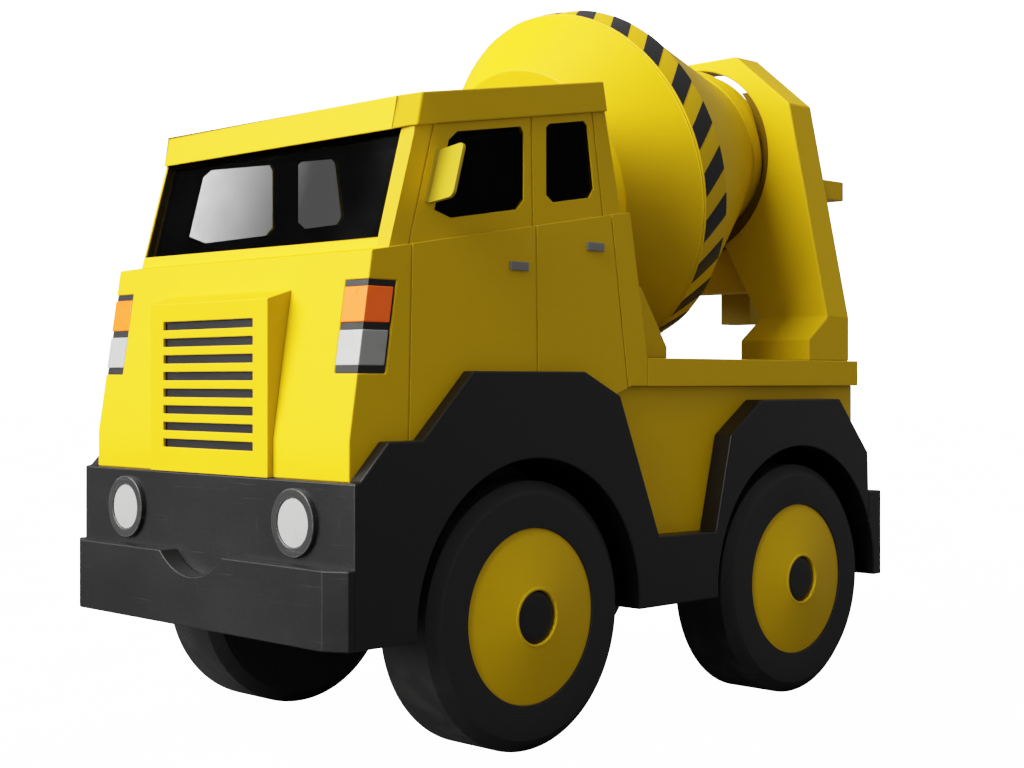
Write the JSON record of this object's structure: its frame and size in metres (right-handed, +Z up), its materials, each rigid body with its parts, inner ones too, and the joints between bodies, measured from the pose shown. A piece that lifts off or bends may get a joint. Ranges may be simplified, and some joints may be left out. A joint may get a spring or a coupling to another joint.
{
  "type": "toy cement mixer truck",
  "caption": "Chunky toy mixer truck: blocky raked cab, tilted turning drum with a striped band, rear arch and swinging chute, on rolling wheels.",
  "frame": {"origin": "centre of the overall bounding box on the ground plane", "axes": "+Z up, the nose faces -Y, +X is the truck's left side"},
  "size_m": [0.1656, 0.2954, 0.2662],
  "materials": {
    "yellow_plastic": "satin",
    "black_plastic": "fine matte",
    "interior_black": "matte",
    "tyre_rubber": "matte",
    "steel": "brushed",
    "tinted_glazing": "clear tinted",
    "orange_lens": "gloss",
    "white_lens": "gloss",
    "grey_plastic": "satin",
    "stripe_film": "satin film"
  },
  "bodies": {
    "truck": {"chassis": "black_plastic", "fender_shell": "black_plastic", "front_bumper": "black_plastic", "rear_bumper": "black_plastic", "load_tub": "yellow_plastic", "load_bed": "yellow_plastic", "cab_shell": "yellow_plastic", "cab_roof": "yellow_plastic", "cab_liner": "interior_black", "windshield": "tinted_glazing", "side_glass": "tinted_glazing", "left_mirror": "yellow_plastic", "right_mirror": "yellow_plastic", "door_handles": "grey_plastic", "grille_surround": "yellow_plastic", "grille_insert": "black_plastic", "lamp_housings": "black_plastic", "turn_lenses": "orange_lens", "marker_lenses": "white_lens", "headlight_bezels": "grey_plastic", "headlight_lenses": "white_lens", "drum_pedestal": "yellow_plastic", "rear_frame": "yellow_plastic", "neck_saddle": "yellow_plastic", "rear_guard": "yellow_plastic", "chute_pin": "steel"},
    "drum": {"drum_shell": "yellow_plastic", "hazard_stripes": "stripe_film", "drum_pivot_pin": "steel"},
    "chute": {"chute": "yellow_plastic"},
    "front_wheels": {"front_axle": "steel", "front_left_tyre": "tyre_rubber", "front_right_tyre": "tyre_rubber", "front_left_hub": "yellow_plastic", "front_right_hub": "yellow_plastic", "front_left_cap": "black_plastic", "front_right_cap": "black_plastic"},
    "rear_wheels": {"rear_axle": "steel", "rear_left_tyre": "tyre_rubber", "rear_right_tyre": "tyre_rubber", "rear_left_hub": "yellow_plastic", "rear_right_hub": "yellow_plastic", "rear_left_cap": "black_plastic", "rear_right_cap": "black_plastic"}
  },
  "joints": [
    {"name": "drum_spin", "type": "hinge", "parent": "truck", "child": "drum", "pos_m": [0, 0.03, 0.1973], "axis": [0, 0.9673, 0.2538], "continuous": true},
    {"name": "chute_swing", "type": "hinge", "parent": "truck", "child": "chute", "pos_m": [0, 0.1289, 0.169], "axis": [0, 0, 1], "range_deg": [-25, 25]},
    {"name": "front_axle_roll", "type": "hinge", "parent": "truck", "child": "front_wheels", "pos_m": [0, -0.0656, 0.044], "axis": [1, 0, 0], "continuous": true},
    {"name": "rear_axle_roll", "type": "hinge", "parent": "truck", "child": "rear_wheels", "pos_m": [0, 0.0808, 0.044], "axis": [1, 0, 0], "continuous": true}
  ]
}
